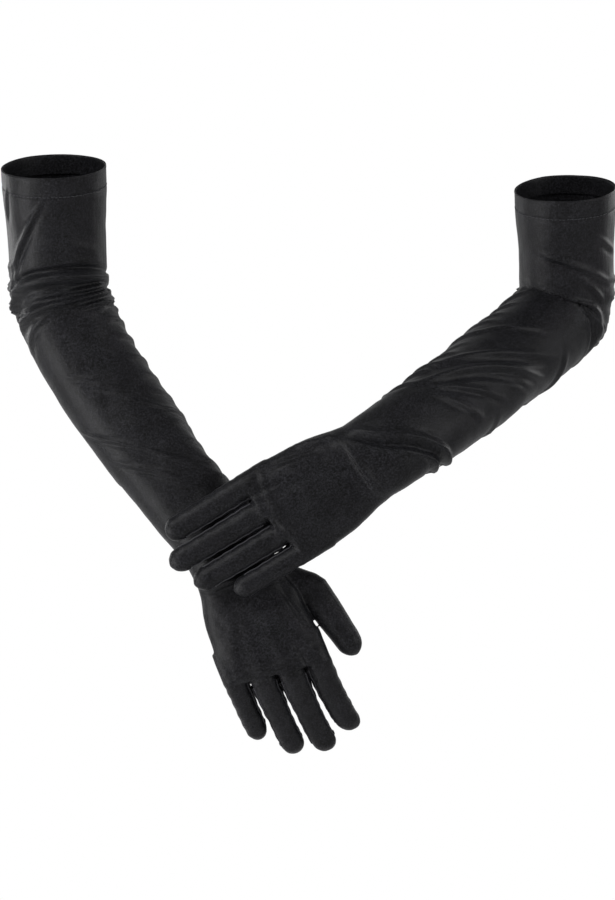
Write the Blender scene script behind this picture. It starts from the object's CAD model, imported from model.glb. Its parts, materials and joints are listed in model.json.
import json
import math
import bmesh
import bpy
import numpy as np
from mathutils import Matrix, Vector
from mathutils.bvhtree import BVHTree


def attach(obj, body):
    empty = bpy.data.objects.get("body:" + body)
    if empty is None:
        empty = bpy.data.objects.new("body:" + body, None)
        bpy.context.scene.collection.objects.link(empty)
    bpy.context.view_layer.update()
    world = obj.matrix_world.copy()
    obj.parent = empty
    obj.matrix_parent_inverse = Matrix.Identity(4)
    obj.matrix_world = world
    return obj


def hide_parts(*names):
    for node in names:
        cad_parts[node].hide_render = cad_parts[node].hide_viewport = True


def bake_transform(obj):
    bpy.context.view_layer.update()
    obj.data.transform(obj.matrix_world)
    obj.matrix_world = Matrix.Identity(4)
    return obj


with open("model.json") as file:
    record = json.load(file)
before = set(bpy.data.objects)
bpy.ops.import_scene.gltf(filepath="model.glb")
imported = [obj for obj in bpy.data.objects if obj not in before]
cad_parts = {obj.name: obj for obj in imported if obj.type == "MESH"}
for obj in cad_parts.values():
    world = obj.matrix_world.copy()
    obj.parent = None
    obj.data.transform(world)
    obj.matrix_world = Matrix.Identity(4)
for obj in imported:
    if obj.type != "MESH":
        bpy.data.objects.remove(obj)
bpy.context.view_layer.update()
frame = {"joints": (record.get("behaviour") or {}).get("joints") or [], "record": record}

# Opera gloves in black stretch satin, on arms that aren't there. Metres throughout.
# Each glove is one skin: a sleeve, a palm, four fingers and a thumb carried along their own
# lines, melted together, given its folds, then cut where it bends.

def unit(v):
    v = np.asarray(v, float)
    return v / np.maximum(np.linalg.norm(v, axis=-1, keepdims=True), 1e-12)


def joint(name):
    return next(j for j in frame["joints"] if j["name"] == name)


def place(name):
    return np.array(joint(name)["pos_m"], float)


def mount(name):
    return next(m for m in frame["record"]["mounts"] if m["name"] == name)


def sweep(centre, side, deep, halfWide, halfDeep, power, around=48):
    # points of a tube: at each centre an ellipse across side and deep, whose corners fill
    # out as power grows past 2: x = w sgn(cos)|cos|^(2/p), y = d sgn(sin)|sin|^(2/p)
    turn = np.linspace(0, 2 * np.pi, around, endpoint=False)
    c, s = np.cos(turn)[None, :], np.sin(turn)[None, :]
    p = (2 / np.asarray(power, float))[:, None]
    x = np.asarray(halfWide)[:, None] * np.sign(c) * np.abs(c) ** p
    y = np.asarray(halfDeep)[:, None] * np.sign(s) * np.abs(s) ** p
    return centre[:, None] + x[..., None] * side[:, None] + y[..., None] * deep[:, None]


def tubeFaces(rows, around, first=0):
    # four-sided faces of a tube whose points go round row by row, each joined to the next row
    i = np.arange(rows - 1)[:, None] * around
    j = np.arange(around)[None, :]
    nextJ = (j + 1) % around
    quads = np.stack([i + j, i + around + j, i + around + nextJ, i + nextJ], -1)
    return (quads.reshape(-1, 4) + first).tolist()


def addTube(parts, grid):
    # a tube with both its ends closed by one flat face
    rows, around, _ = grid.shape
    first = sum(len(p) for p in parts["points"])
    parts["points"].append(grid.reshape(-1, 3))
    parts["faces"] += tubeFaces(rows, around, first)
    parts["faces"].append(list(range(first, first + around)))
    last = first + (rows - 1) * around
    parts["faces"].append(list(range(last + around - 1, last - 1, -1)))


def newPiece(name, points, faces):
    mesh = bpy.data.meshes.new(name)
    mesh.from_pydata(np.asarray(points).tolist(), [], faces)
    mesh.validate()
    piece = bpy.data.objects.new(name, mesh)
    bpy.context.scene.collection.objects.link(piece)
    return piece


def coords(mesh):
    co = np.empty(len(mesh.vertices) * 3)
    mesh.vertices.foreach_get("co", co)
    return co.reshape(-1, 3)


def setCoords(mesh, co):
    mesh.vertices.foreach_set("co", np.asarray(co).ravel())
    mesh.update()


def normals(mesh):
    n = np.empty(len(mesh.vertices) * 3)
    mesh.vertex_normals.foreach_get("vector", n)
    return n.reshape(-1, 3)


def bezier(p0, p1, p2, p3, t):
    # a cubic curve from p0 to p3, pulled toward p1 and p2, each weighted by t and 1 - t
    t = t[:, None]
    return (1 - t) ** 3 * p0 + 3 * t * (1 - t) ** 2 * p1 + 3 * t * t * (1 - t) * p2 + t ** 3 * p3


def turnAbout(v, axis, angle):
    # v turned about an axis: the part along the axis stays, and the rest goes round by the angle
    v, axis = np.asarray(v, float), unit(axis)
    return (v * math.cos(angle) + np.cross(axis, v) * math.sin(angle)
            + axis * (v @ axis) * (1 - math.cos(angle)))


hold = {  # curl of the fingers in degrees, bow of the forearm, whether the thumb lies along
    # the knuckle axis (1) or against it (-1), and its way in the hand's own axes
    "right": {"curl": 38, "bow": 0.5, "radial": 1, "thumb": (0.21, 0.08, -0.97)},
    "left": {"curl": 9, "bow": 0.1, "radial": -1, "thumb": (0.1, 0.9, -0.42)},
}


def skeleton(hand):
    # the glove's joints and ways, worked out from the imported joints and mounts
    rim = "right_arm_opening" if hand == "right" else "left_rim"
    up = unit(mount(rim)["axis"])
    elbow, wrist = place(f"{hand}_elbow"), place(f"{hand}_wrist")
    upperLength = np.linalg.norm(place("right_elbow"))
    knuckles = {d: place(f"{hand}_{d}_curl") for d in digits}
    side = unit(joint(f"{hand}_middle_curl")["axis"])
    along = knuckles["middle"] - wrist
    along = unit(along - side * (along @ side))
    palm = unit(np.cross(along, side))
    palm = palm * np.sign(palm[1])
    way = turnAbout(along, side, math.radians(hold[hand]["curl"]))
    if way @ palm < 0:
        way = turnAbout(along, side, -math.radians(hold[hand]["curl"]))
    thumbX, thumbY, thumbZ = hold[hand]["thumb"]
    return {
        "hand": hand, "radial": hold[hand]["radial"], "up": up, "elbow": elbow, "wrist": wrist,
        "top": elbow + up * upperLength, "upperLength": upperLength, "side": side,
        "along": along, "palm": palm, "way": way, "knuckles": knuckles,
        "elbowWay": unit(unit(wrist - elbow) - up), "fingerDeep": unit(np.cross(way, side)),
        "thumb": place(f"{hand}_thumb_spread"),
        "thumbWay": unit(thumbX * side + thumbY * palm - thumbZ * along),
        "palmLength": (knuckles["middle"] - wrist) @ along,
    }


sleeveSize = {
    "hemRadius": 0.0395,
    "upperRadius": 0.0372,
    "elbowRadius": 0.0364,
    "forearmHalf": (0.0350, 0.0312),
    "wristHalf": (0.0305, 0.0220),
    "straightWrist": 0.014,
    "elbowTurn": 0.022,  # the sleeve starts to turn this far above the elbow
    "overrun": 0.012,  # drawn on past the arm opening, and cut off there
    "cuff": {"right": 0.0010, "left": 0.0030},  # spare half width above the wrist
}
drift = {  # how far the forearm hangs off the joint line: share of the run, x, z
    "right": ((0, 0, 0), (0.12, -0.0012, 0), (0.3, -0.0030, -0.0014), (0.85, -0.0030, -0.0016),
              (1, 0, 0)),
    "left": ((0, 0, 0), (0.12, -0.002, 0), (0.3, -0.0040, 0.0035), (0.6, -0.0026, 0.0034),
             (1, 0, 0)),
}


def sleeveLine(glove):
    # opening, straight to the elbow, a rounded turn, then the bowed forearm to the wrist
    chord = unit(glove["wrist"] - glove["elbow"])
    reach = np.linalg.norm(glove["wrist"] - glove["elbow"])
    start = unit(chord - hold[glove["hand"]]["bow"] * glove["up"])
    end = glove["wrist"] - glove["along"] * sleeveSize["straightWrist"]
    fore = bezier(glove["elbow"], glove["elbow"] + start * 0.4 * reach,
                  end - glove["along"] * 0.15 * reach, end, np.linspace(0.07, 1, 60))
    turnIn = glove["elbow"] + glove["up"] * sleeveSize["elbowTurn"]
    rise = glove["top"] + glove["up"] * sleeveSize["overrun"] - turnIn
    upper = turnIn + rise * np.linspace(1, 0, 24)[:, None]
    t = np.linspace(0, 1, 10)[1:-1, None]
    turn = (1 - t) ** 2 * turnIn + 2 * t * (1 - t) * glove["elbow"] + t * t * fore[0]
    tail = glove["wrist"] + glove["along"] * np.linspace(-0.008, 0.012, 4)[:, None]
    line = np.concatenate([upper, turn, fore, tail])
    step = np.linalg.norm(np.diff(line, axis=0), axis=1)
    run = np.concatenate([[0], np.cumsum(step)])
    share, dx, dz = np.array(drift[glove["hand"]]).T
    line[:, 0] += np.interp(run / run[-1], share, dx)
    line[:, 2] += np.interp(run / run[-1], share, dz)
    return line, run


def sleeveHalf(run, glove, total):
    # half width and half depth of the sleeve at a distance down its line
    elbow = glove["upperLength"] + sleeveSize["overrun"]
    keys = [0, 0.030, 0.5 * elbow, elbow, elbow + 0.030, elbow + 0.120, total - 0.055, total]
    hem, upper, bend = (sleeveSize[k] for k in ("hemRadius", "upperRadius", "elbowRadius"))
    foreWide, foreDeep = sleeveSize["forearmHalf"]
    wristWide, wristDeep = sleeveSize["wristHalf"]
    cuff = sleeveSize["cuff"][glove["hand"]]
    wide = [hem, hem - 0.0002, upper, bend, bend, foreWide, wristWide + cuff, wristWide]
    deep = [hem, hem - 0.0006, upper, bend, bend - 0.001, foreDeep, wristDeep + 0.003, wristDeep]
    return np.interp(run, keys, wide), np.interp(run, keys, deep)


def sleeveTube(glove):
    # the sleeve's section carried along its line, rounder at the opening than at the wrist
    line, run = sleeveLine(glove)
    tangent = unit(np.gradient(line, axis=0))
    side = unit(np.cross(np.array([0, 1.0, 0]), -tangent))
    side = side * np.sign(side @ glove["side"])[:, None]
    deep = unit(np.cross(-tangent, side))
    wide, thick = sleeveHalf(run, glove, run[-1])
    glove["line"], glove["run"], glove["lineSide"], glove["lineDeep"] = line, run, side, deep
    return sweep(line, side, deep, wide, thick, 2 + 0.4 * run / run[-1])


handSize = {
    "palmHalf": (0.0380, 0.0148),
    "knuckleHalf": (0.0402, 0.0088),
    "spare": {"right": 0.0004, "left": 0.0016},  # spare half width over the palm
    "fingerDeep": 0.0083,
    "webGap": 0.0003,  # taken off each side of a finger past the web
    "thumbHalf": (0.0122, 0.0096),
    "thumbLength": 0.062,
    "voxel": 0.0011,
}


def palmKeys(glove):
    # distances from the wrist, and the palm's half width and half depth there
    spare = handSize["spare"][glove["hand"]]
    palmWide, palmDeep = handSize["palmHalf"]
    knuckleWide, knuckleDeep = handSize["knuckleHalf"]
    length = glove["palmLength"]
    z = np.array([-0.004, 0.012, 0.38, 0.62, 0.84, 1.035]) * np.array([1, 1] + [length] * 4)
    wide = [0.0300, 0.0318 + spare, 0.0368 + spare, palmWide + spare, 0.0408, knuckleWide]
    deep = [0.0205, 0.0185, 0.0158, palmDeep, 0.0118, knuckleDeep]
    return z, wide, deep


def palmTube(glove):
    # flattened sections from the wrist to the knuckles, a little squarer toward the knuckles
    length = glove["palmLength"]
    z, wide, deep = palmKeys(glove)
    fine = np.linspace(z[0], z[-1], 30)
    centre = glove["wrist"] + fine[:, None] * glove["along"]
    side = np.repeat(glove["side"][None], 30, 0)
    palm = np.repeat(glove["palm"][None], 30, 0)
    grid = sweep(centre, side, palm, np.interp(fine, z, wide), np.interp(fine, z, deep),
                 2.5 + 0.2 * np.linspace(0, 1, 30))
    # the front edge is skewed to lie along the knuckles, all of it in the outer half
    names = sorted(digits, key=lambda d: glove["knuckles"][d] @ glove["side"])
    kx = [(glove["knuckles"][d] - glove["wrist"]) @ glove["side"] for d in names]
    lag = [(glove["knuckles"][d] - glove["wrist"]) @ glove["along"] - length for d in names]
    x = (grid - glove["wrist"]) @ glove["side"]
    share = np.clip((fine / length - 0.3) / 0.67, 0, 1)[:, None] ** 1.5
    return grid + (share * np.interp(x, kx, lag))[..., None] * glove["along"]


digits = {  # half width at the knuckle, knuckle to tip, and the sides with a fourchette
    "index": (0.0100, 0.070, (-1,)),
    "middle": (0.0100, 0.078, (1, -1)),
    "ring": (0.0096, 0.074, (1, -1)),
    "little": (0.0088, 0.059, (1,)),
}


def digitTube(base, before, way, side, halfWide, halfDeep, length, lead, gap=0.0, taper=0.05):
    # runs along before, turns into way at the joint and narrows past the web. Its half width
    # is w (1 - taper t^2) times a tip factor that falls to nothing over the last 11 mm:
    # (1 - (1 - left / 11 mm)^2.2)^0.62, a soft, slightly squared end
    back = base - before * lead * np.linspace(1, 0.25, 6)[:, None]
    out = base + way * length * np.linspace(0.04, 1, 40)[:, None]
    line = np.concatenate([back, out])
    tangent = unit(np.gradient(line, axis=0))
    deep = unit(np.cross(tangent, side))
    t = np.concatenate([np.zeros(6), np.linspace(0.04, 1, 40)])
    left = (1 - t) * length
    tip = np.clip(1 - (1 - np.clip(left / 0.011, 0, 1)) ** 2.2, 0.0, 1) ** 0.62
    narrow = gap * np.clip((t - 0.02) / 0.1, 0, 1)
    wide = (halfWide * (1 - taper * t * t) - narrow) * (0.10 + 0.90 * tip)
    thick = halfDeep * (1 - 0.10 * t) * (0.16 + 0.84 * tip)
    return sweep(line, np.repeat(side[None], len(line), 0), deep, wide, thick,
                 np.full(len(line), 2.3), 32)


tipLean = {  # how far each fingertip leans toward the thumb side
    "right": {"index": 0.0048, "middle": 0.0030, "ring": 0.0012, "little": 0.0002},
    "left": {"index": -0.0006, "middle": 0.0002, "ring": 0.0004, "little": 0.0008},
}


def leaning(points, glove, name):
    # the loose cloth past the fingertip leans off to one side
    past = (points - glove["knuckles"][name]) @ glove["way"] / digits[name][1]
    past = np.clip((past - 0.35) / 0.65, 0, 1)
    off = tipLean[glove["hand"]][name] * past ** 2
    return points + off[..., None] * glove["side"] * glove["radial"]


def gloveSkin(glove):
    # the closed tubes, melted into one skin of even faces and smoothed
    parts = {"points": [], "faces": []}
    addTube(parts, sleeveTube(glove))
    addTube(parts, palmTube(glove))
    for name, (half, length, _) in digits.items():
        grid = digitTube(glove["knuckles"][name], glove["along"], glove["way"], glove["side"], half,
                         handSize["fingerDeep"], length, 0.022, handSize["webGap"])
        grid = leaning(grid, glove, name)
        addTube(parts, grid)
    thumbSide = unit(np.cross(glove["thumbWay"], glove["palm"] + 0.01 * glove["along"]))
    inward = unit(glove["wrist"] + glove["along"] * 0.030 - glove["thumb"])
    outOfPalm = unit(glove["thumbWay"] - inward * 0.9)
    thumbWide, thumbDeep = handSize["thumbHalf"]
    addTube(parts, digitTube(glove["thumb"], outOfPalm, glove["thumbWay"], thumbSide, thumbWide,
                             thumbDeep, handSize["thumbLength"], 0.024, 0.0, 0.30))
    whole = newPiece(f"{glove['hand']}Skin", np.concatenate(parts["points"]), parts["faces"])
    melt = whole.modifiers.new("melt", "REMESH")
    melt.mode = "VOXEL"
    melt.voxel_size = handSize["voxel"]
    ease = whole.modifiers.new("ease", "SMOOTH")
    ease.factor, ease.iterations = 0.5, 5
    bpy.context.view_layer.update()
    graph = bpy.context.evaluated_depsgraph_get()
    mesh = bpy.data.meshes.new_from_object(whole.evaluated_get(graph))
    bpy.data.objects.remove(whole)
    return mesh


def ridge(a, b, fold):
    # a soft ridge on the (along, around) plane of the cloth: a Gaussian across a slanting
    # line, faded at both ends of its length. A negative height is a crease.
    at, turn, lean, length, width, height, rise = fold
    ca, sa = math.cos(math.radians(lean)), math.sin(math.radians(lean))
    da, db = a - at, b - turn
    u, v = da * sa + db * ca, da * ca - db * sa
    v = v - rise * (2 * u / length) ** 2
    profile = np.exp(-(v / width) ** 2) - 0.45 * np.exp(-((v - 1.6 * width) / width) ** 2)
    return height * profile * np.exp(-(u / (0.55 * length)) ** 4)


folds = {  # along from the opening, around, lean, length, width, height, rise of its ends
    "right": [
        (0.070, -0.002, -9, 0.105, 0.0026, -0.0034, 0.019),
        (0.076, -0.002, -9, 0.100, 0.0042, 0.0034, 0.019),
        (0.094, 0.002, -5, 0.100, 0.0030, -0.0022, 0.010),
        (0.100, 0.002, -4, 0.096, 0.0038, 0.0026, 0.009),
        (0.085, 0.028, 4, 0.034, 0.0034, -0.0026, 0.002),
        (0.112, -0.020, -26, 0.048, 0.0030, 0.0014, 0.004),
        (0.116, 0.034, 10, 0.030, 0.0030, 0.0020, 0.0),
        (0.050, -0.0225, -65, 0.060, 0.0020, 0.0019, 0.001),
        (0.062, -0.030, -58, 0.050, 0.0022, 0.0012, 0.0),
        (0.024, -0.038, -80, 0.024, 0.0020, 0.0013, 0.0),
        (0.052, 0.014, 20, 0.040, 0.0034, 0.0006, 0.0),
        (0.167, -0.011, 38, 0.020, 0.0016, 0.0009, 0.0),
        (0.185, 0.0045, 42, 0.032, 0.0018, 0.0013, 0.0),
        (0.236, -0.005, 50, 0.088, 0.0020, 0.0017, 0.002),
        (0.259, -0.0065, 50, 0.060, 0.0020, 0.0014, 0.0),
        (0.247, 0.006, 46, 0.070, 0.0022, -0.0008, 0.0),
        (0.212, 0.022, 40, 0.030, 0.0020, 0.0010, 0.0),
    ],
    "left": [
        (0.056, 0.010, 31, 0.050, 0.0026, 0.0020, 0.002),
        (0.085, 0.004, 28, 0.066, 0.0034, 0.0028, 0.003),
        (0.093, 0.004, 26, 0.052, 0.0028, -0.0012, 0.003),
        (0.076, 0.0185, 50, 0.024, 0.0022, 0.0016, 0.0),
        (0.103, 0.012, 14, 0.070, 0.0036, 0.0024, 0.0),
        (0.112, 0.030, 20, 0.040, 0.0030, -0.0016, 0.0),
        (0.040, 0.032, 40, 0.030, 0.0024, 0.0012, 0.0),
        (0.213, -0.010, -58, 0.092, 0.0026, 0.0020, 0.0),
        (0.223, -0.008, -58, 0.090, 0.0022, -0.0014, 0.0),
        (0.232, -0.007, -58, 0.108, 0.0030, 0.0026, 0.004),
        (0.243, -0.004, -56, 0.080, 0.0022, -0.0012, 0.003),
        (0.255, 0.000, -46, 0.058, 0.0024, 0.0016, 0.0),
        (0.182, -0.020, -50, 0.050, 0.0024, 0.0010, 0.0),
        (0.270, 0.006, -30, 0.050, 0.0030, 0.0012, 0.0),
        (0.318, 0.003, -34, 0.074, 0.0030, 0.0028, 0.0),
        (0.327, 0.003, -34, 0.074, 0.0022, -0.0028, 0.0),
        (0.297, 0.040, -20, 0.034, 0.0036, 0.0036, 0.0),
        (0.308, 0.043, -14, 0.028, 0.0030, 0.0030, 0.0),
        (0.300, 0.026, -26, 0.040, 0.0026, -0.0016, 0.0),
    ],
}


def waves(p, seed, count, size, direction=None):
    # a smooth random field: a sum of sines with seeded ways and phases, about one high
    rng = np.random.default_rng(seed)
    total = np.zeros(len(p))
    for _ in range(count):
        k = unit(rng.normal(size=3))
        if direction is not None:
            k = unit(k - 0.75 * direction * (k @ direction))
        total += np.sin(p @ k * 2 * np.pi / (size * rng.uniform(0.7, 1.4)) + rng.uniform(0, 6.28))
    return total / math.sqrt(count)


looseCloth = {
    "seed": {"right": 11, "left": 23},
    "puckers": 11,  # down the side seam
    "behind": 26,  # folds round the back
    "tallest": 0.0040,
    "aroundRadius": 0.034,  # turns an angle round the sleeve into a distance
}


def foldSleeve(mesh, glove):
    # every point goes out along its normal by the sum of the ridges and waves at its own
    # distance along and around the sleeve
    co, n = coords(mesh), normals(mesh)
    out = np.zeros(len(co))
    line, run = glove["line"], glove["run"]
    nearest = np.empty(len(co), int)
    batch = 20000  # to keep the table of distances small
    for i in range(0, len(co), batch):
        gap = ((co[i:i + batch, None] - line[None]) ** 2).sum(-1)
        nearest[i:i + batch] = gap.argmin(1)
    off = co - line[nearest]
    tangent = unit(np.gradient(line, axis=0))[nearest]
    a = run[nearest] + (off * tangent).sum(-1) - sleeveSize["overrun"]
    x = (off * glove["lineSide"][nearest]).sum(-1)
    y = (off * glove["lineDeep"][nearest]).sum(-1)
    front = -y * np.sign(glove["lineDeep"][0] @ np.array([0, 1.0, 0]))
    radius = np.hypot(x, y)
    across = np.sign(glove["lineSide"][0][0] + 1e-9)
    b = np.arctan2(across * x, front) * looseCloth["aroundRadius"]
    handPart = np.clip(((co - glove["wrist"]) @ glove["along"]) / 0.015, 0, 1)
    for fold in folds[glove["hand"]]:
        out += ridge(a, b, fold)
    rng = np.random.default_rng(looseCloth["seed"][glove["hand"]])
    # puckers down the inner edge, where the side seam draws the cloth up
    for step in range(looseCloth["puckers"]):
        at = 0.125 + 0.0165 * step + rng.uniform(-0.004, 0.004)
        turn = 0.046 if glove["hand"] == "right" else -0.048
        lean = rng.uniform(14, 30) * np.sign(turn)
        out += ridge(a, b, (at, turn, lean, 0.026, 0.0030, rng.uniform(0.0008, 0.0016), 0.0))
    # the same sort of folds round the back, so it isn't a bare tube from behind
    for _ in range(looseCloth["behind"]):
        at = rng.choice([rng.uniform(0.075, 0.130), rng.uniform(0.02, 0.32)])
        turn = rng.choice([-1, 1]) * rng.uniform(0.055, 0.105)
        lean = rng.uniform(-34, 34)
        size = rng.uniform(0.0022, 0.0040)
        out += ridge(a, b, (at, turn, lean, rng.uniform(0.03, 0.07), size, 0.5 * size, 0.0))
    sleeve = 1 - handPart
    grow = 0.0006 * waves(co, 3, 9, 0.048, glove["up"]) + 0.00010 * waves(co, 5, 9, 0.015)
    hemCalm = np.clip(a / 0.016, 0.15, 1)
    out = (out + grow) * sleeve * hemCalm
    palm = 0.00018 * waves(co, 7, 9, 0.022) + 0.00008 * waves(co, 9, 9, 0.009)
    out += palm * handPart
    # the stitched edge of the turned hem, a shallow groove all round
    out -= 0.0003 * np.exp(-((a - hemSize["stitchLine"]) / 0.0012) ** 2) * sleeve
    tallest = looseCloth["tallest"]
    out = np.clip(out, -tallest, tallest) * np.clip(radius / 0.006, 0, 1)
    setCoords(mesh, co + n * out[:, None])


def foldHand(mesh, glove):
    # the same for the hand: a few ridges on the back, tendons, knuckles and side puckers
    co, n = coords(mesh), normals(mesh)
    d = co - glove["wrist"]
    a, x = d @ glove["along"], d @ glove["side"] * glove["radial"]
    length = glove["palmLength"]
    back = np.clip(-n @ glove["palm"] * 1.5, 0, 1)
    out = np.zeros(len(co))
    for fold in ((length - 0.010, -0.018, 6, 0.030, 0.0026, 0.0009, 0.002),
                 (length - 0.008, 0.012, -8, 0.040, 0.0024, 0.0008, -0.002),
                 (length - 0.002, 0.022, 84, 0.030, 0.0018, -0.0010, 0.0),
                 (0.030, 0.034, 70, 0.034, 0.0026, 0.0012, 0.0),
                 (0.046, 0.030, 78, 0.034, 0.0022, -0.0012, 0.0),
                 (0.012, 0.004, 10, 0.060, 0.0034, 0.0010, 0.0)):
        out += ridge(a, x, fold) * back
    # faint tendons fan from the wrist to the knuckles
    for knuckle in glove["knuckles"].values():
        kx = (knuckle - glove["wrist"]) @ glove["side"] * glove["radial"]
        off = x - kx * np.clip(a / length, 0, 1) ** 0.7
        fade = np.exp(-((a - 0.7 * length) / (0.3 * length)) ** 4)
        out += 0.0006 * np.exp(-(off / 0.0045) ** 2) * fade * back
        bump = (a - (knuckle - glove["wrist"]) @ glove["along"] + 0.003) ** 2 + (x - kx) ** 2
        out += 0.0007 * np.exp(-bump / 0.0065 ** 2) * back
    # small puckers where the finger cloth is loose, at the side seams
    for name, (half, reach, _) in digits.items():
        r = co - glove["knuckles"][name]
        t, fx = r @ glove["way"], r @ glove["side"]
        inside = (t > 0.002) & (np.abs(fx) < half + 0.001) & (t < reach + 0.004)
        wrinkle = np.sin(t * 2 * np.pi / 0.0105 + 5 * fx / half) * np.abs(fx / half) ** 2
        out += np.where(inside, 0.00022 * wrinkle, 0)
    setCoords(mesh, co + n * out[:, None])


cutting = {
    "pastElbow": 0.125,  # the upper piece ends this far down the forearm
    "behindKnuckle": 0.007,
    "thumbFrom": 0.010,  # along the thumb from its joint
    "thumbReach": 0.0165,  # how far the thumb's cloth lies from its line
    "palmLevel": 1.22,  # cloth belongs to the palm up to here, where 1 is the palm's own surface
    "wall": 0.0007,
    "crispAngle": 62,
}


def sliceAt(bm, point, normal, clear=False):
    geom = list(bm.verts) + list(bm.edges) + list(bm.faces)
    bmesh.ops.bisect_plane(bm, geom=geom, dist=1e-6, plane_co=Vector(point),
                           plane_no=Vector(normal), clear_outer=clear)


def pieceFrom(mesh, keep, name):
    # the faces in keep, with their own vertices, as a new object
    bm = bmesh.new()
    bm.from_mesh(mesh)
    bm.faces.ensure_lookup_table()
    drop = [bm.faces[i] for i in np.nonzero(~keep)[0]]
    bmesh.ops.delete(bm, geom=drop, context="FACES")
    out = bpy.data.meshes.new(name)
    bm.to_mesh(out)
    bm.free()
    out.polygons.foreach_set("use_smooth", np.ones(len(out.polygons), bool))
    piece = bpy.data.objects.new(name, out)
    bpy.context.scene.collection.objects.link(piece)
    return piece


def faceCentres(mesh):
    c = np.empty(len(mesh.polygons) * 3)
    mesh.polygons.foreach_get("center", c)
    return c.reshape(-1, 3)


def thicken(piece):
    # the cloth's own thickness, inward, with a crisp cut edge
    wall = piece.modifiers.new("cloth", "SOLIDIFY")
    wall.thickness = cutting["wall"]
    wall.offset = -1
    wall.use_rim = True
    split = piece.modifiers.new("crispRim", "EDGE_SPLIT")
    split.split_angle = math.radians(cutting["crispAngle"])


def cutGlove(mesh, glove):
    # bisects the skin at each cut, and gives every face the number of its piece:
    # 0 upper sleeve, 1 forearm and hand, 2 to 5 the fingers, 6 the thumb
    order = list(digits)
    knuckles = glove["knuckles"]
    pairs = list(zip(order, order[1:]))
    past = glove["upperLength"] + sleeveSize["overrun"] + cutting["pastElbow"]
    mid = glove["line"][np.searchsorted(glove["run"], past)]
    midWay = unit(glove["wrist"] - glove["elbow"])
    behind = cutting["behindKnuckle"]
    bm = bmesh.new()
    bm.from_mesh(mesh)
    sliceAt(bm, glove["top"], glove["up"], clear=True)
    sliceAt(bm, mid, midWay)
    for name in order:
        sliceAt(bm, knuckles[name] - glove["along"] * behind, glove["along"])
    for a, b in pairs:
        sliceAt(bm, 0.5 * (knuckles[a] + knuckles[b]), glove["side"])
    sliceAt(bm, glove["thumb"] + glove["thumbWay"] * cutting["thumbFrom"], glove["thumbWay"])
    bm.normal_update()
    bm.to_mesh(mesh)
    bm.free()

    c = faceCentres(mesh)
    fromWrist = c - glove["wrist"]
    a = fromWrist @ glove["along"]
    tag = np.zeros(len(c), int)
    tag[(c - mid) @ midWay > 0] = 1
    aboveElbow = (c - glove["elbow"]) @ glove["up"] > 0.03
    tag[aboveElbow & (a < -0.02)] = 0
    webs = [0.5 * (knuckles[a] + knuckles[b]) @ glove["side"] for a, b in pairs]
    x = c @ glove["side"]
    for i, name in enumerate(order):
        here = (c - knuckles[name]) @ glove["along"] > -behind
        here &= np.abs((c - knuckles[name]) @ glove["side"]) < 0.030
        here &= a > 0.05
        middle = knuckles[name] @ glove["side"]
        low = max([w for w in webs if w < middle], default=-9)
        high = min([w for w in webs if w > middle], default=9)
        tag[here & (x > low) & (x < high)] = 2 + i
    r = c - glove["thumb"]
    t = r @ glove["thumbWay"]
    apart = np.linalg.norm(r - t[:, None] * glove["thumbWay"], axis=1)
    keys, wide, deep = palmKeys(glove)
    hx = np.abs(fromWrist @ glove["side"]) / np.interp(a, keys, wide)
    hy = np.abs(fromWrist @ glove["palm"]) / np.interp(a, keys, deep)
    outside = hx ** 2.6 + hy ** 2.6 > cutting["palmLevel"]
    thumb = (t > cutting["thumbFrom"]) & (t < 0.08) & (apart < cutting["thumbReach"])
    tag[thumb & outside] = 6
    return tag


def toLinear(code):
    # a hex colour as linear light: v / 12.92 below 0.04045, else ((v + 0.055) / 1.055)^2.4
    c = np.array([int(code[i:i + 2], 16) / 255 for i in (1, 3, 5)])
    lin = np.where(c <= 0.04045, c / 12.92, ((c + 0.055) / 1.055) ** 2.4)
    return (*lin.tolist(), 1.0)


def addNode(mat, kind, settings=None, links=None):
    # one shader node: settings named in: are its inputs, links are sockets and what feeds them
    node = mat.node_tree.nodes.new(kind)
    for key, value in (settings or {}).items():
        if key.startswith("in:"):
            node.inputs[key[3:]].default_value = value
        else:
            setattr(node, key, value)
    for socket, source in (links or {}).items():
        mat.node_tree.links.new(source, node.inputs[socket])
    return node


satinLook = {
    "cloth": "#060607", "deep": "#010101", "lit": "#121214", "roughness": 0.43,
    "threadSpacing": 0.0011,  # real threads are 0.15 mm apart, drawn coarser so they show
}


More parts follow.
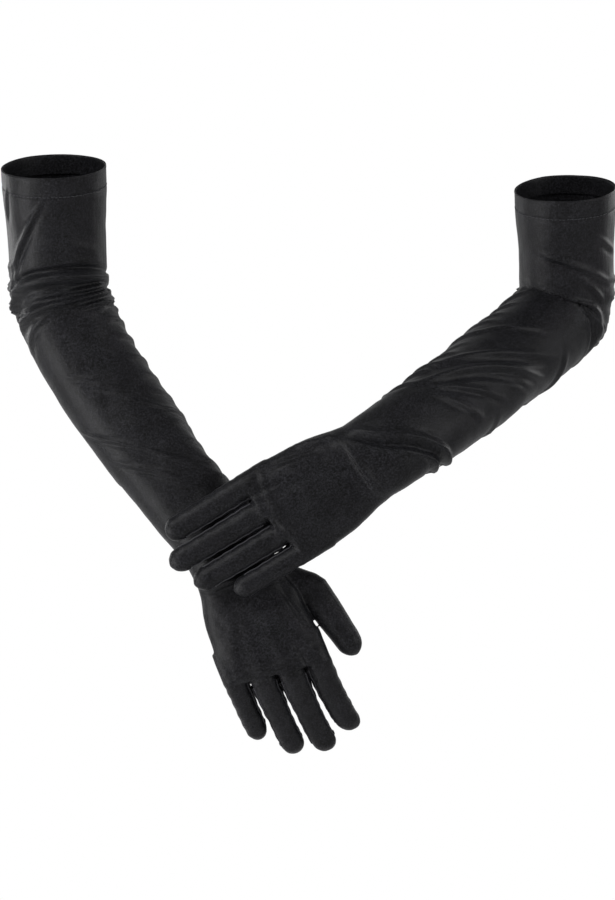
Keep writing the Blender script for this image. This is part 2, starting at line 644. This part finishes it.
def stretchSatin(name, shine=1.0):
    # woven polyester satin with elastane, dyed black: a tight smooth face that is nearly
    # black head on and gives a broad grey bloom where it turns away
    mat = bpy.data.materials.new(name)
    mat.use_nodes = True
    mat.node_tree.nodes.clear()
    where = addNode(mat, "ShaderNodeTexCoord").outputs["Object"]
    cloud = addNode(mat, "ShaderNodeTexNoise", {"in:Scale": 55.0, "in:Detail": 4.0,
                    "in:Roughness": 0.6}, {"Vector": where}).outputs["Fac"]
    grain = addNode(mat, "ShaderNodeTexNoise", {"in:Scale": 1 / satinLook["threadSpacing"],
                    "in:Detail": 3.0, "in:Roughness": 0.75}, {"Vector": where}).outputs["Fac"]
    patch = addNode(mat, "ShaderNodeMapRange", {"in:To Min": 0.85, "in:To Max": 1.15},
                    {"Value": cloud}).outputs["Result"]
    mixed = addNode(mat, "ShaderNodeMath", {"operation": "MULTIPLY"}, {0: patch, 1: grain})
    tone = addNode(mat, "ShaderNodeValToRGB", links={"Fac": mixed.outputs[0]})
    ramp = tone.color_ramp.elements
    ramp[0].position, ramp[0].color = 0.38, toLinear(satinLook["deep"])
    ramp[1].position, ramp[1].color = 0.66, toLinear(satinLook["lit"])
    middle = tone.color_ramp.elements.new(0.50)
    middle.color = toLinear(satinLook["cloth"])
    rough = addNode(mat, "ShaderNodeMapRange", {"in:To Min": satinLook["roughness"] - 0.05,
                    "in:To Max": satinLook["roughness"] + 0.09}, {"Value": grain})
    bump = addNode(mat, "ShaderNodeBump", {"in:Strength": 0.5, "in:Distance": 0.0004},
                   {"Height": grain})
    skin = addNode(mat, "ShaderNodeBsdfPrincipled", {
        "in:IOR": 1.11, "in:Specular IOR Level": 0.5 * shine, "in:Sheen Weight": 0.006 * shine,
        "in:Sheen Roughness": 0.45, "in:Sheen Tint": (0.8, 0.82, 0.86, 1)},
        {"Base Color": tone.outputs["Color"], "Roughness": rough.outputs["Result"],
         "Normal": bump.outputs["Normal"]})
    addNode(mat, "ShaderNodeOutputMaterial", links={"Surface": skin.outputs[0]})
    return mat


threadLook = {"dark": "#0b0b0c", "pale": "#1c1c1f", "roughness": 0.62}


def sewingThread(name):
    # black polyester thread and the rolled seam edge it holds: duller than the satin face
    # and a little paler, so the seam line reads as a fine grey line
    mat = bpy.data.materials.new(name)
    mat.use_nodes = True
    mat.node_tree.nodes.clear()
    where = addNode(mat, "ShaderNodeTexCoord").outputs["Object"]
    twist = addNode(mat, "ShaderNodeTexNoise", {"in:Scale": 1400.0, "in:Detail": 2.0},
                    {"Vector": where}).outputs["Fac"]
    tone = addNode(mat, "ShaderNodeValToRGB", links={"Fac": twist})
    tone.color_ramp.elements[0].color = toLinear(threadLook["dark"])
    tone.color_ramp.elements[1].color = toLinear(threadLook["pale"])
    bump = addNode(mat, "ShaderNodeBump", {"in:Strength": 0.3, "in:Distance": 0.0002},
                   {"Height": twist})
    skin = addNode(mat, "ShaderNodeBsdfPrincipled",
                   {"in:Roughness": threadLook["roughness"], "in:IOR": 1.2},
                   {"Base Color": tone.outputs["Color"], "Normal": bump.outputs["Normal"]})
    addNode(mat, "ShaderNodeOutputMaterial", links={"Surface": skin.outputs[0]})
    return mat


satin = stretchSatin("blackStretchSatin")
satinReverse = stretchSatin("blackSatinReverse", 0.45)
thread = sewingThread("blackPolyesterThread")


seamSize = {
    "radius": 0.00048, "lift": 0.0001,  # round the fourchettes
    "sideRadius": 0.00034, "sideLift": -0.00005,  # down the sleeves
    "sideMeets": 0.115,  # where the two side seams meet, past the elbow
    "sideEnds": 0.028,  # short of the sleeve line's end
}


def cordMesh(line, radius, around=8):
    # a round cord along a line, closed by a flat face at each end
    line = np.asarray(line, float)
    tangent = unit(np.gradient(line, axis=0))
    spare = np.array([0.31, 0.62, 0.72])
    side = unit(np.cross(tangent, spare))
    deep = np.cross(tangent, side)
    r = np.full(len(line), radius)
    grid = sweep(line, side, deep, r, r, np.full(len(line), 2.0), around)
    last = (len(line) - 1) * around
    faces = tubeFaces(len(line), around)
    faces.append(list(range(around)))
    faces.append(list(range(last + around - 1, last - 1, -1)))
    return grid.reshape(-1, 3), faces


def onSkin(tree, points, lift):
    # each point moved to the nearest place on the skin, and out by lift
    moved = []
    for p in points:
        hit, n, _, _ = tree.find_nearest(Vector(p))
        moved.append(np.array(hit) + np.array(n) * lift)
    return np.array(moved)


def makeSeam(name, tree, points, radius, lift):
    pts, faces = cordMesh(onSkin(tree, points, lift), radius)
    seam = newPiece(name, pts, faces)
    finish(seam, thread)
    return seam


def finish(piece, material):
    piece.data.materials.clear()
    piece.data.materials.append(material)
    piece.data.polygons.foreach_set("use_smooth", np.ones(len(piece.data.polygons), bool))


bendBand = {  # the cloth bends from this far before a joint to this far past it
    "elbow": (0.030, 0.034),
    "wrist": (0.024, 0.020),
    "finger": (0.006, 0.012),
    "thumb": (-0.010, 0.046),  # begins past the joint, where the thumb leaves the palm
}


def band(kind, at, way):
    before, after = bendBand[kind]
    return {"start": tuple(at - way * before), "end": tuple(at + way * after)}


def buildSleeves(glove, mesh, tag):
    # the upper sleeve bends at the elbow, the forearm and hand at the wrist
    hand = glove["hand"]
    upper = pieceFrom(mesh, tag == 0, f"{hand}UpperSleeve")
    lower = pieceFrom(mesh, tag == 1, f"{hand}ForearmAndHand")
    finish(upper, satin)
    finish(lower, satin)
    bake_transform(upper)
    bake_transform(lower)
    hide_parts(f"{hand}_upper_sleeve")
    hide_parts(f"{hand}_forearm_sleeve", f"{hand}_hand_back", f"{hand}_hand_palm")
    print(hand, "sleeves and hand cut")
    return [upper, lower]


fourchette = {
    "half": 0.0040,  # half the width that shows
    "from": 0.004,  # past the knuckle
    "shortOfTip": 0.013,
    "swell": 0.0021,  # toward the next finger, fading out 40 mm from the knuckle
    "sunk": 0.0003,
}


def stripFaces(piece, glove, name, side):
    # the faces of a finger between its two side seams
    knuckle, deep = glove["knuckles"][name], glove["fingerDeep"]
    half, length, _ = digits[name]
    low, high, edge = fourchette["from"], length - fourchette["shortOfTip"], fourchette["half"]
    bm = bmesh.new()
    bm.from_mesh(piece.data)
    for y in (-edge, edge):
        sliceAt(bm, knuckle + deep * y, deep)
    sliceAt(bm, knuckle + glove["way"] * high, glove["way"])
    sliceAt(bm, knuckle + glove["way"] * low, glove["way"])
    bm.to_mesh(piece.data)
    bm.free()
    c = faceCentres(piece.data) - knuckle
    t, x, y = c @ glove["way"], c @ glove["side"], c @ deep
    strip = (np.abs(y) < edge) & (side * x > 0.4 * half)
    return strip & (t > low) & (t < high)


def puffStrip(strip, glove, name):
    # sunk a little, but swelling toward the next finger down in the web
    n, r = normals(strip.data), coords(strip.data) - glove["knuckles"][name]
    swell = fourchette["swell"] * np.clip(1.1 - r @ glove["way"] / 0.040, 0, 1)
    across = r @ glove["fingerDeep"] / fourchette["half"]
    swell = swell * np.clip(1 - across ** 2, 0, 1) - fourchette["sunk"]
    setCoords(strip.data, coords(strip.data) + n * swell[:, None])


def seamPath(glove, name, sideWay):
    # out along one edge of the fourchette, across near the tip and back along the other
    knuckle, deep, way = glove["knuckles"][name], glove["fingerDeep"], glove["way"]
    half, length, _ = digits[name]
    edge, end = fourchette["half"], length - fourchette["shortOfTip"]
    down = np.linspace(0.003, end, 40)[:, None]
    across = np.linspace(-1, 1, 9)[1:-1, None]
    out = glove["side"] * sideWay * half
    rows = [knuckle + way * down + out - deep * edge,
            knuckle + way * end + out + deep * edge * across,
            knuckle + way * down[::-1] + out + deep * edge]
    return leaning(np.concatenate(rows), glove, name)


def buildFinger(glove, mesh, keep, tree, name):
    # a casing of the same cloth as the hand, with a fourchette let in at each inner side
    hand = glove["hand"]
    title = f"{hand}{name.title()}"
    whole = pieceFrom(mesh, keep, f"{title}Finger")
    strips = []
    for way in digits[name][2]:
        sideWay = way * glove["radial"]
        label = "thumb_side" if way > 0 else "little_side"
        inStrip = stripFaces(whole, glove, name, sideWay)
        strip = pieceFrom(whole.data, inStrip, f"{title}Fourchette{label[0].upper()}")
        rest = pieceFrom(whole.data, ~inStrip, f"{title}Finger")
        bpy.data.objects.remove(whole)
        whole = rest
        puffStrip(strip, glove, name)
        finish(strip, satinReverse)
        strips.append((strip, label, sideWay))
    whole.name = f"{title}Finger"
    finish(whole, satin)
    thicken(whole)
    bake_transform(whole)
    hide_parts(f"{hand}_{name}_finger")
    for strip, label, sideWay in strips:
        thicken(strip)
        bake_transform(strip)
        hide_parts(f"{hand}_{name}_fourchette_{label}")
        seam = makeSeam(f"{title}Seam{label[0].upper()}", tree, seamPath(glove, name, sideWay),
                        seamSize["radius"], seamSize["lift"])
        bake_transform(seam)
    print(hand, name, "finger with", len(strips), "fourchettes")
    return [whole] + [strip for strip, _, _ in strips]


def buildThumb(glove, mesh, keep):
    hand = glove["hand"]
    thumb = pieceFrom(mesh, keep, f"{hand}Thumb")
    finish(thumb, satin)
    thicken(thumb)
    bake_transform(thumb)
    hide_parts(f"{hand}_thumb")
    print(hand, "thumb")
    return thumb


def sleevePath(glove, at, turn):
    # points on the sleeve at distances from the opening, turned from the viewer's side
    run = glove["run"] - sleeveSize["overrun"]
    centre, side, deep = (np.stack([np.interp(at, run, glove[key][:, k]) for k in range(3)], -1)
                          for key in ("line", "lineSide", "lineDeep"))
    return centre + 0.036 * (np.sin(turn)[:, None] * side - np.cos(turn)[:, None] * deep)


hemSize = {
    "stitchLine": 0.014,  # from the arm opening
    "stitches": 78,  # one every 3 mm
    "stitchRadius": 0.00026,
    "around": 200,
    # the cloth goes over the edge in a soft roll and down inside to the stitching:
    # distance from the opening, lift off the skin, rise above it
    "turned": [(0.0012, 0.0001, 0), (0.0006, 0.0002, 0.0003), (0.0006, 0, 0.0011),
               (0.0006, -0.0005, 0.0014), (0.0006, -0.0010, 0.0009), (0.0010, -0.0012, 0),
               (0.0040, -0.0012, 0), (0.0090, -0.0012, 0), (0.0140, -0.0010, 0)],
}


def buildHem(glove, tree):
    hand, around = glove["hand"], hemSize["around"]
    turn = np.linspace(0, 2 * np.pi, around, endpoint=False)
    rows = [onSkin(tree, sleevePath(glove, np.full(around, at), turn), lift) + rise * glove["up"]
            for at, lift, rise in hemSize["turned"]]
    hem = newPiece(f"{hand}TurnedHem", np.concatenate(rows), tubeFaces(len(rows), around))
    finish(hem, satin)
    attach(hem, f"{hand}_upper")
    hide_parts(f"{hand}_turned_hem")
    return hem


def buildStitches(glove, tree):
    hand = glove["hand"]
    points, faces, first = [], [], 0
    for i in range(hemSize["stitches"]):
        turn = (i + np.linspace(0.14, 0.86, 5)) * 2 * np.pi / hemSize["stitches"]
        line = onSkin(tree, sleevePath(glove, np.full(5, hemSize["stitchLine"]), turn), 0.0002)
        p, f = cordMesh(line, hemSize["stitchRadius"], 5)
        points.append(p)
        faces += [[first + k for k in face] for face in f]
        first += len(p)
    stitches = newPiece(f"{hand}HemStitches", np.concatenate(points), faces)
    finish(stitches, thread)
    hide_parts(f"{hand}_hem_stitching")
    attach(stitches, f"{hand}_upper")
    print(hand, "hem and stitches")


def buildSideSeams(glove, tree):
    # one long seam down the little-finger side, from the hem to the hand, in two pieces
    hand = glove["hand"]
    edge = -glove["radial"] * np.sign(glove["lineSide"][0] @ glove["side"]) * math.pi / 2
    meet = glove["upperLength"] + seamSize["sideMeets"]
    end = glove["run"][-1] - seamSize["sideEnds"]
    for name, low, high, before, after, span, node in (
            ("UpperSeam", 0.001, meet, "upper", "forearm",
             band("elbow", glove["elbow"], glove["elbowWay"]), "upper_side_seam"),
            ("ForearmSeam", meet, end, "forearm", "hand",
             band("wrist", glove["wrist"], glove["along"]), "forearm_side_seam")):
        path = sleevePath(glove, np.linspace(low, high, 90), np.full(90, edge))
        seam = makeSeam(f"{hand}{name}", tree, path, seamSize["sideRadius"], seamSize["sideLift"])
        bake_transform(seam)
        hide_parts(f"{hand}_{node}")
    print(hand, "side seams")


def buildGlove(hand):
    glove = skeleton(hand)
    mesh = gloveSkin(glove)
    foldSleeve(mesh, glove)
    foldHand(mesh, glove)
    tag = cutGlove(mesh, glove)
    print(hand, "skin", len(mesh.polygons), "faces, pieces", np.bincount(tag).tolist())
    tree = BVHTree.FromPolygons([v.co.copy() for v in mesh.vertices],
                                [list(p.vertices) for p in mesh.polygons])
    cloth = buildSleeves(glove, mesh, tag)
    for i, name in enumerate(digits):
        cloth += buildFinger(glove, mesh, tag == 2 + i, tree, name)
    cloth.append(buildThumb(glove, mesh, tag == 6))
    cloth.append(buildHem(glove, tree))
    buildStitches(glove, tree)
    buildSideSeams(glove, tree)
    print(hand, "glove built")


for hand in ("right", "left"):
    buildGlove(hand)

view = {"distance": 2.1, "centre": (0.1901, -0.2122), "width": 0.46125, "floor": -1.1}
lights = {  # offset from the middle of the gloves, size and power
    "keyLight": ((-1.5, -1.7, 1.5), 0.8, 150),
    "fillLight": ((1.9, -1.2, 0.4), 0.9, 74),
    "lowLight": ((-1.7, -0.7, -0.5), 0.6, 80),
    "backLeft": ((-1.5, 1.1, 0.2), 0.8, 16),
    "backRight": ((1.5, 1.1, 0.5), 0.8, 16),
}


def areaLight(name, middle, offset, size, power):
    light = bpy.data.lights.new(name, "AREA")
    light.shape, light.size, light.energy = "DISK", size, power
    lamp = bpy.data.objects.new(name, light)
    at = [m + o for m, o in zip(middle, offset)]
    lamp.location = at
    lamp.rotation_euler = (Vector(middle) - Vector(at)).to_track_quat("-Z", "Y").to_euler()
    bpy.context.scene.collection.objects.link(lamp)


def addCamera(x, z):
    cam = bpy.data.cameras.new("camera")
    cam.sensor_fit = "HORIZONTAL"
    cam.sensor_width = 36
    cam.lens = cam.sensor_width * view["distance"] / view["width"]
    cam.clip_end = 50
    camera = bpy.data.objects.new("camera", cam)
    camera.location = (x, -view["distance"], z)
    camera.rotation_euler = (math.pi / 2, 0, 0)
    bpy.context.scene.collection.objects.link(camera)
    bpy.context.scene.camera = camera


def addFloor():
    low = view["floor"]
    corners = [(-4, -3, low), (4, -3, low), (4, 3, low), (-4, 3, low)]
    ground = newPiece("floor", corners, [[0, 1, 2, 3]])
    pale = bpy.data.materials.new("palePaint")
    pale.use_nodes = True
    paint = pale.node_tree.nodes["Principled BSDF"]
    paint.inputs["Base Color"].default_value = (0.86, 0.86, 0.86, 1)
    paint.inputs["Roughness"].default_value = 0.9
    ground.data.materials.append(pale)


def studio():
    x, z = view["centre"]
    addCamera(x, z)
    for name, (offset, size, power) in lights.items():
        areaLight(name, (x, 0, z), offset, size, power)
    world = bpy.data.worlds.new("paleRoom")
    world.use_nodes = True
    back = world.node_tree.nodes["Background"]
    back.inputs["Color"].default_value = (1, 1, 1, 1)
    back.inputs["Strength"].default_value = 1.0
    bpy.context.scene.world = world
    addFloor()
    bpy.context.scene.view_settings.view_transform = "Standard"
    print("studio set")


studio()
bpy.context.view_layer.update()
